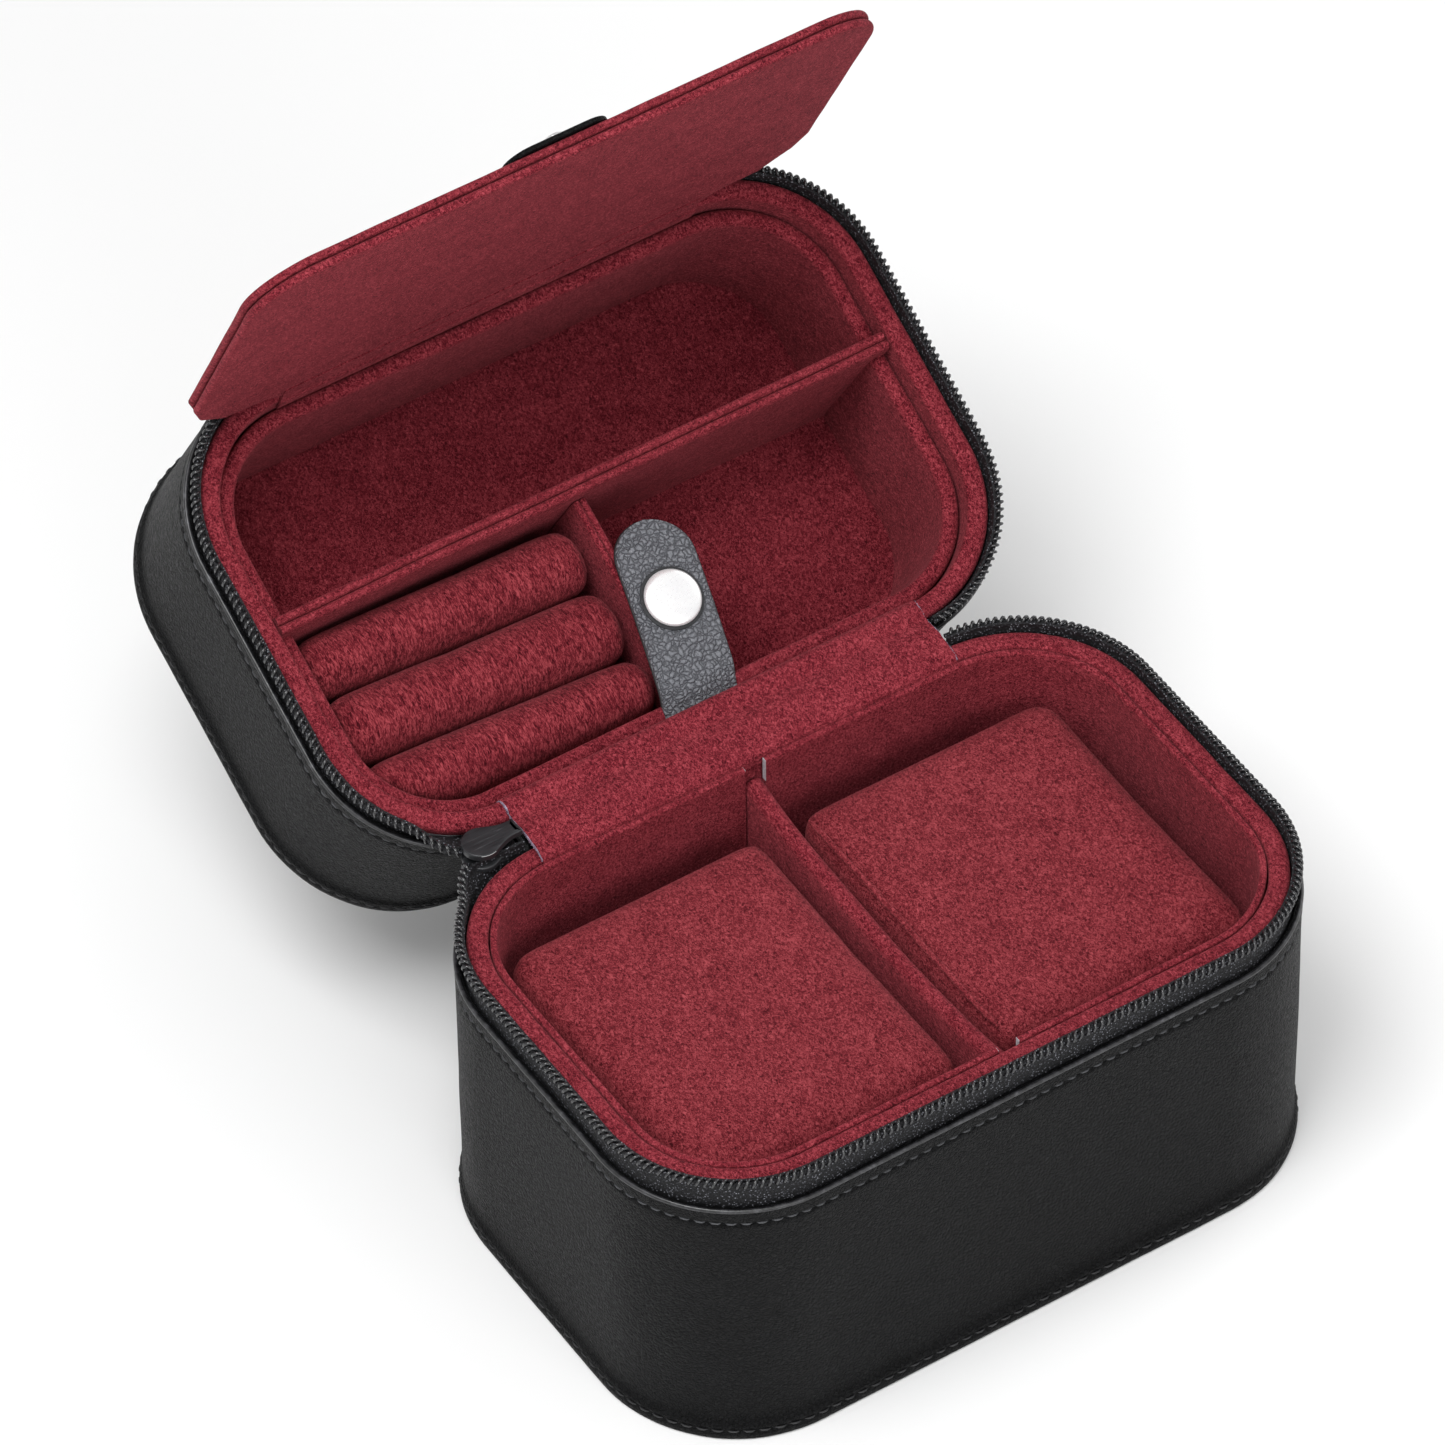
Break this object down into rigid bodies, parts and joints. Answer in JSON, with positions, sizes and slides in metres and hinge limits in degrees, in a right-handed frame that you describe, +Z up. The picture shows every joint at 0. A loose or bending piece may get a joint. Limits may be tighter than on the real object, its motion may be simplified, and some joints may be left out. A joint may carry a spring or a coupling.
{
  "type": "jewelry box",
  "caption": "Zipped hard travel case for watches and jewelry, open: a deep base with two watch pillows, and a hinged lid with ring rolls, a folding flap and a snap strap.",
  "frame": {"origin": "centre of the base's underside", "axes": "+Z up, +X along the spine to the right, +Y from the front to the spine and the open lid"},
  "size_m": [0.1616, 0.225, 0.1977],
  "materials": {
    "leather": "fine-grained black leather, satin",
    "suede": "short-napped dark red suede cloth, matte",
    "board": "plain stiff board, matte",
    "tape": "woven black zip tape",
    "coil": "black nylon zip coil, slightly glossy",
    "slider": "black enamelled zinc, satin",
    "strap": "dark grey pebbled leather, satin",
    "chrome": "polished snap metal"
  },
  "bodies": {
    "base": {"base_leather_wall": "leather", "base_bottom_panel": "leather", "base_board": "board", "base_zip_tape": "tape", "base_zip_coil": "coil", "base_liner": "suede", "base_floor_pad": "suede", "base_insert": "suede", "center_divider": "suede", "spine_cover": "leather", "spine_lining": "suede", "zip_slider": "slider", "zip_slider_bail": "slider"},
    "lid": {"lid_leather_wall": "leather", "lid_top_panel": "leather", "lid_board": "board", "lid_zip_tape": "tape", "lid_zip_coil": "coil", "lid_liner": "suede", "lid_floor_pad": "suede", "lid_insert": "suede", "cross_divider": "suede", "short_divider": "suede", "ring_roll_1": "suede", "ring_roll_2": "suede", "ring_roll_3": "suede", "flap_hinge_strip": "suede"},
    "flap": {"flap_inner_panel": "suede", "flap_outer_panel": "suede", "flap_snap_patch": "leather", "flap_snap_stud": "chrome"},
    "strap": {"strap": "strap", "strap_snap_cap": "chrome", "strap_snap_socket": "chrome"},
    "pillow_left": {"watch_pillow_left": "suede"},
    "pillow_right": {"watch_pillow_right": "suede"},
    "pull": {"zip_pull": "slider"}
  },
  "joints": [
    {"name": "lid_hinge", "type": "hinge", "parent": "base", "child": "lid", "pos_m": [0, 0.0536, 0.0762], "axis": [1, 0, 0], "range_deg": [-12, 150], "deforming": ["spine_cover", "spine_lining"]},
    {"name": "flap_fold", "type": "hinge", "parent": "lid", "child": "flap", "pos_m": [0, 0.14162, 0.12355], "axis": [1, 0, 0], "range_deg": [-7.44, 93]},
    {"name": "strap_lift", "type": "hinge", "parent": "lid", "child": "strap", "pos_m": [0.0006, 0.0649, 0.07522], "axis": [-1, 0, 0], "range_deg": [-60, 0]},
    {"name": "pillow_left_lift", "type": "slide", "parent": "base", "child": "pillow_left", "axis": [0, 0, -1], "range_m": [-0.075, 0]},
    {"name": "pillow_right_lift", "type": "slide", "parent": "base", "child": "pillow_right", "axis": [0, 0, -1], "range_m": [-0.075, 0]},
    {"name": "pull_swing", "type": "hinge", "parent": "base", "child": "pull", "pos_m": [-0.06, 0.0541, 0.0712], "axis": [0, 1, 0], "range_deg": [0, 85]}
  ],
  "couplings": [
    {"joint": "flap_fold", "follows": "lid_hinge", "ratio": 0.62}
  ]
}
